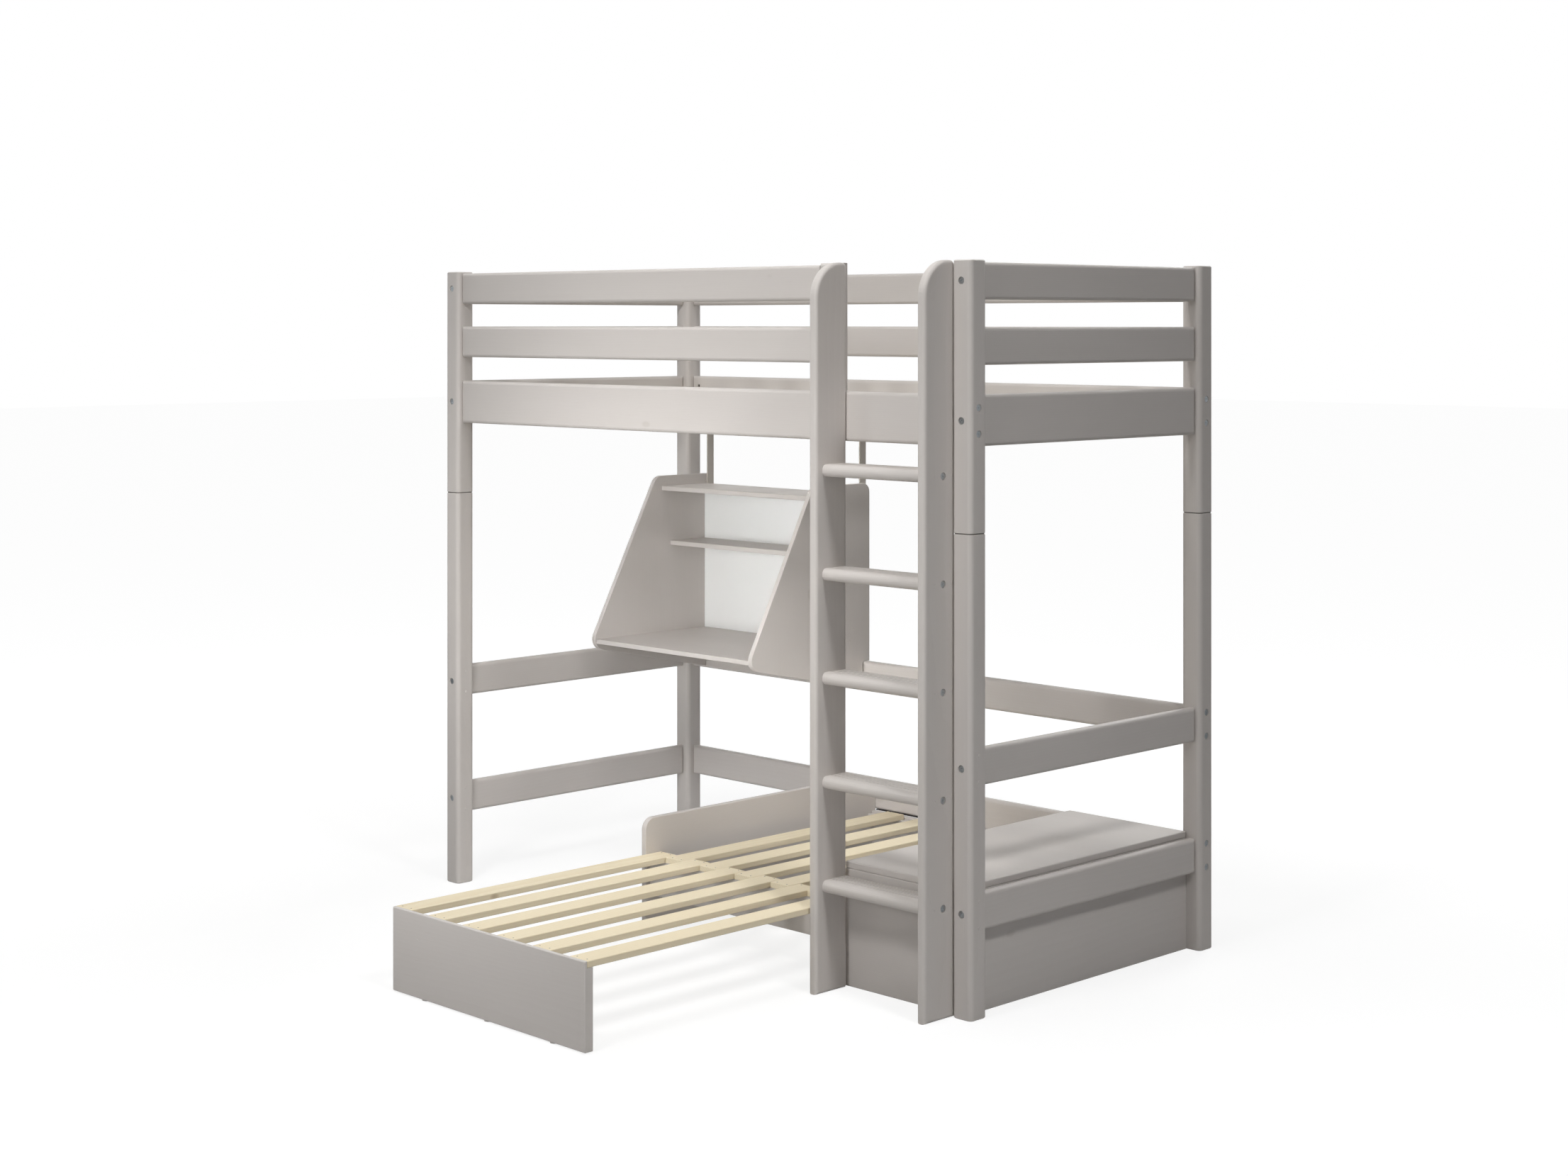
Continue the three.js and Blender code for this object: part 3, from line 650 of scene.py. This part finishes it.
slat_low, slat_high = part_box(SLATS[0])
apron = middle("guest_bed_apron")
cleat = middle("guest_bed_cleat")
fixed_centres = [middle(slat).x for slat in SLATS]
stamp(
    "slat_nails_fixed", NAIL, nail_pairs(fixed_centres, slat_high.z, (apron.y, cleat.y)), nail_steel,
    "bed_frame",
)

# The painted shade strip above the guest bed.
# A near-black strip under the wall side's lower rail, over the board that carries the slats. Its colour is
# painted shade: it fills the gap between the two, so that a black line shows there instead of the white
# floor.
# Near-black colours that paint the shade in the gap.
STRIP_PAINTED_SHADE = (0.030, 0.026, 0.024)
STRIP_PAINTED_SHADE_DEEP = (0.020, 0.017, 0.016)
STRIP_BACK = 0.001
STRIP_GAP = 0.0002
# The strip's finish: near-black wood that is painted shade.
painted_shade_strip = wood(
    "painted_shade_strip", "along_bed", STRIP_PAINTED_SHADE, STRIP_PAINTED_SHADE_DEEP, STRIP_PAINTED_SHADE_DEEP,
    weights=(0.3, 0.3, 0.3, 0.5), ring_scale=46.0, roughness=(0.6, 0.8), relief=0.0001,
)
rail_low, rail_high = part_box("wall_rail_low")
board_low, board_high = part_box("guest_bed_rear_board")
strip_low = Vector((board_low.x, rail_low.y + STRIP_BACK, board_high.z + STRIP_GAP))
strip_high = Vector((board_high.x, rail_high.y - STRIP_BACK, rail_low.z))
shape = bmesh.new()
bmesh.ops.create_cube(shape, size=1.0)
bmesh.ops.scale(shape, vec=strip_high - strip_low, verts=shape.verts)
bmesh.ops.translate(shape, vec=(strip_low + strip_high) / 2, verts=shape.verts)
new_piece("guest_bed_painted_shade_strip", shape, painted_shade_strip, "bed_frame")

# The guest bed's pull-out.
# Six more slats run between the fixed ones, nailed to the front panel and to a beam under their other
# ends, so that the whole set slides out. The panel is one wide lacquered board on felt glides.
finish_nodes(bare_pine, "pullout_slats")
finish_nodes(lacquer["along_bed"], "pullout_front")
pull_low, pull_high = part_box("pullout_slats")
MOVING_SLATS = 6
FRONT_NAILS = 0.012
BEAM_NAILS = 0.010
PANEL_PLUGS_ACROSS_AND_UP = ((0.103, 0.148), (0.622, 0.166))
slat_width = slat_high.x - slat_low.x
pitch = fixed_centres[1] - fixed_centres[0]
moving_centres = [pull_low.x + slat_width / 2 + pitch * index for index in range(MOVING_SLATS)]
stamp(
    "slat_nails_moving", NAIL,
    nail_pairs(moving_centres, pull_high.z, (pull_low.y + FRONT_NAILS, pull_high.y - BEAM_NAILS)),
    nail_steel, "pullout",
)
panel_low, panel_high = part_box("pullout_front")
panel_plugs = [
    ((panel_low.x + across, panel_low.y, panel_low.z + up), OUTWARD["front"])
    for across, up in PANEL_PLUGS_ACROSS_AND_UP
]
stamp(
    "pullout_cover_plugs", cover_plug(CAP_RADIUS, CAP_RISE), panel_plugs, lacquer["along_bed"],
    "pullout",
)

# The storage bench.
# A box of 18 mm lacquered boards on the floor between the guest bed and the end rails, with a loose lid
# that is cut round the post.
finish_nodes(lacquer["along_bed"], "bench_front", "bench_rear", "bench_floor", "bench_lid")
finish_nodes(lacquer["across_bed"], "bench_side_left", "bench_side_right")

# The upper bed's slatted base.
# Fourteen planks of paler bare pine on two ledgers inside the bed boards, nailed down at both ends.
PALE_PINE = (0.780, 0.735, 0.660)
PALE_PINE_SHADE = (0.680, 0.620, 0.520)
pale_pine = wood(
    "pale_pine", "across_bed", PALE_PINE, PALE_PINE_SHADE, PINE_KNOT,
    weights=(0.34, 0.25, 0.3, 0.5), ring_scale=46.0, roughness=(0.55, 0.72), relief=0.0002,
)
finish_nodes(pale_pine, "upper_slat_base")
BASE_SLATS = 14
BASE_SLAT_WIDTH = 0.070
LEDGER_MIDDLE = 0.0145
base_low, base_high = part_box("upper_slat_base")
base_pitch = (base_high.x - base_low.x - BASE_SLAT_WIDTH) / (BASE_SLATS - 1)
base_centres = [base_low.x + BASE_SLAT_WIDTH / 2 + base_pitch * index for index in range(BASE_SLATS)]
stamp(
    "slat_nails_upper", NAIL,
    nail_pairs(base_centres, base_high.z, (base_low.y + LEDGER_MIDDLE, base_high.y - LEDGER_MIDDLE)),
    nail_steel, "bed_frame",
)

# The studio.
# A plain pale floor and a white surround. The floor's own colour keeps the bed's soft shadow, and the part
# of it that only the camera sees lifts it to white.
FLOOR_REACH = 40.0
FLOOR_TONE = 0.65
FLOOR_SEEN_TONE = 0.26
GLOW_NEAR, GLOW_FAR = 0.80, 0.97
GLOW_FROM, GLOW_TO = 1.2, 4.5
WHITE = (1.0, 1.0, 1.0, 1.0)


def by_ray(tree, wanted, plain, seen, output):
    """Shows one shader to the rays that are wanted and a plainer one to all others."""
    choice = tree.nodes.new("ShaderNodeMixShader")
    tree.links.new(wanted, choice.inputs["Fac"])
    tree.links.new(plain, choice.inputs[1])
    tree.links.new(seen, choice.inputs[2])
    tree.links.new(choice.outputs["Shader"], output.inputs["Surface"])


def studio_floor():
    """A wide floor that is plain to light and lifted to white for the camera."""
    shape = bmesh.new()
    bmesh.ops.create_grid(shape, x_segments=1, y_segments=1, size=FLOOR_REACH)
    mesh = bpy.data.meshes.new("studio_floor")
    shape.to_mesh(mesh)
    shape.free()
    material = bpy.data.materials.new("studio_floor")
    material.use_nodes = True
    tree = material.node_tree
    tree.nodes.clear()
    plain = add_node(tree, "ShaderNodeBsdfDiffuse", Color=(FLOOR_TONE, FLOOR_TONE, FLOOR_TONE, 1.0))
    seen_tone = (FLOOR_SEEN_TONE, FLOOR_SEEN_TONE, FLOOR_SEEN_TONE, 1.0)
    seen = add_node(tree, "ShaderNodeBsdfDiffuse", Color=seen_tone)
    lift = add_node(tree, "ShaderNodeEmission", Color=WHITE)
    place = tree.nodes.new("ShaderNodeTexCoord")
    away = tree.nodes.new("ShaderNodeVectorMath")
    away.operation = "LENGTH"
    tree.links.new(place.outputs["Object"], away.inputs[0])
    reach = add_node(
        tree, "ShaderNodeMapRange", From_Min=GLOW_FROM, From_Max=GLOW_TO, To_Min=GLOW_NEAR, To_Max=GLOW_FAR
    )
    tree.links.new(away.outputs["Value"], reach.inputs["Value"])
    tree.links.new(reach.outputs["Result"], lift.inputs["Strength"])
    both = tree.nodes.new("ShaderNodeAddShader")
    tree.links.new(seen.outputs["BSDF"], both.inputs[0])
    tree.links.new(lift.outputs["Emission"], both.inputs[1])
    rays = tree.nodes.new("ShaderNodeLightPath")
    output = tree.nodes.new("ShaderNodeOutputMaterial")
    by_ray(tree, rays.outputs["Is Camera Ray"], plain.outputs["BSDF"], both.outputs["Shader"], output)
    mesh.materials.append(material)
    floor = bpy.data.objects.new("studio_floor", mesh)
    bpy.context.scene.collection.objects.link(floor)
    return floor


studio_floor()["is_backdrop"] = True
SKY = 0.03
world = bpy.data.worlds.new("studio")
bpy.context.scene.world = world
world.use_nodes = True
tree = world.node_tree
tree.nodes.clear()
dim = add_node(tree, "ShaderNodeBackground", Color=WHITE, Strength=SKY)
white = add_node(tree, "ShaderNodeBackground", Color=WHITE, Strength=1.0)
rays = tree.nodes.new("ShaderNodeLightPath")
seen = sums(tree, "MAXIMUM", rays.outputs["Is Camera Ray"], rays.outputs["Is Glossy Ray"])
seen = sums(tree, "MAXIMUM", seen, rays.outputs["Is Transmission Ray"])
output = tree.nodes.new("ShaderNodeOutputWorld")
by_ray(tree, seen, dim.outputs["Background"], white.outputs["Background"], output)

# The lights.
# Wide soft boxes at the left, in front, above, at the right and behind give the bright front faces and the
# half shade of the right hand ones. Narrow ones open up the desk, the ladder and the space under the bed.
def soft_box(name, place, target, size, power, spread=180):
    """A square lamp: its side in metres, its power in watts and its spread in degrees."""
    lamp = bpy.data.lights.new(name, "AREA")
    lamp.shape = "SQUARE"
    lamp.size = size
    lamp.spread = math.radians(spread)
    lamp.energy = power
    box = bpy.data.objects.new(name, lamp)
    box.location = place
    box.rotation_euler = (Vector(target) - Vector(place)).to_track_quat("-Z", "Y").to_euler()
    box.visible_camera = False
    bpy.context.scene.collection.objects.link(box)


soft_box("left_light", (-4.4, -0.7, 2.8), (0.0, 0.0, 1.0), 1.4, 29.0)
soft_box("high_front_light", (1.0, -3.0, 4.0), (-0.3, 0.0, 0.8), 0.8, 68.0)
soft_box("desk_light", (-0.2, -3.9, 0.75), (-0.35, 0.9, 1.0), 0.8, 2.3, spread=27)
soft_box("desk_side_light", (1.5, -3.9, 1.85), (-0.35, 0.9, 0.9), 0.9, 2.9, spread=38)
soft_box("low_front_light", (2.4, -3.4, 1.2), (-1.0, 0.1, 0.4), 0.8, 1.0, spread=36)
soft_box("ladder_light", (-0.9, -2.3, 1.3), (0.75, -0.55, 0.85), 0.5, 0.9, spread=60)
soft_box("inner_light", (0.88, 0.3, 1.12), (-0.17, 0.35, 0.45), 0.4, 0.85, spread=66)
soft_box("top_light", (-0.3, -0.6, 4.6), (-0.3, -0.6, 0.0), 2.6, 42.0)
soft_box("right_light", (5.7, -1.2, 7.2), (1.0, 0.2, 0.3), 1.2, 85.0)
soft_box("low_right_light", (5.7, -1.2, 7.2), (1.0, -0.2, 0.3), 1.2, 5.2, spread=32)
soft_box("rear_light", (-0.2, 4.4, 3.0), (0.0, 0.0, 1.0), 1.6, 60.0)

# The camera.
# Eye height, level, at the front right corner of the bed. The picture's lower half is brought in by the
# lens shift, so that the posts stay upright as in the photograph.
camera_data = bpy.data.cameras.new("camera")
camera_data.sensor_width = 36.0
camera_data.lens = 55.72
camera_data.shift_x = -0.0028
camera_data.shift_y = -0.1692
camera_data.clip_end = 200.0
camera = bpy.data.objects.new("camera", camera_data)
camera.location = (4.9017, -4.5316, 1.6918)
camera.rotation_euler = (math.pi / 2, 0.0, math.radians(45.2))
bpy.context.scene.collection.objects.link(camera)
bpy.context.scene.camera = camera
bpy.context.scene.view_settings.view_transform = "Standard"

low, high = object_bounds()
